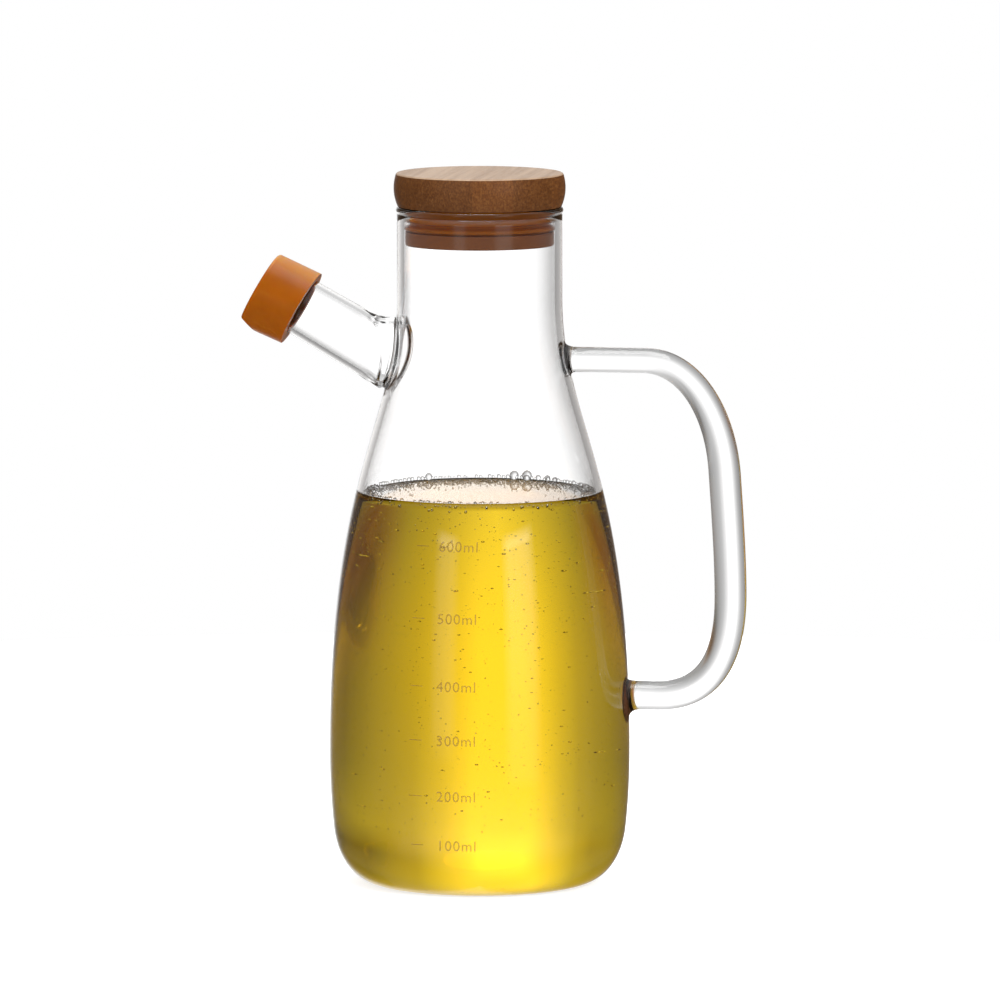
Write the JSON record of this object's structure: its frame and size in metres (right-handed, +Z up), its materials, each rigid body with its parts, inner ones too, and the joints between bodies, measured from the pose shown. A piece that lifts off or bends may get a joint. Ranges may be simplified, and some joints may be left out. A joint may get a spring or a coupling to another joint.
{
  "type": "olive oil bottle",
  "caption": "Clear glass oil jug with a slanted side spout and a rod handle, filled with oil, closed by a bamboo stopper and a silicone spout cap.",
  "frame": {"origin": "centre of the base on the bottle's axis, in the plane that the base rests on", "axes": "+Z up the bottle's axis, +X towards the handle, -X towards the spout, -Y towards the side with the volume scale"},
  "size_m": [0.1547, 0.0918, 0.2176],
  "materials": {
    "glass": "clear borosilicate, smooth blown surface with rippled welds",
    "oil": "clear yellow liquid with fine bubbles",
    "bamboo": "turned carbonised bamboo, satin",
    "clear_silicone": "clear glossy silicone",
    "amber_silicone": "translucent amber silicone, satin"
  },
  "bodies": {
    "root": {"glass_bottle": "glass", "oil": "oil", "stopper": "bamboo", "seal_ring": "clear_silicone", "spout_cap": "amber_silicone"}
  },
  "joints": []
}
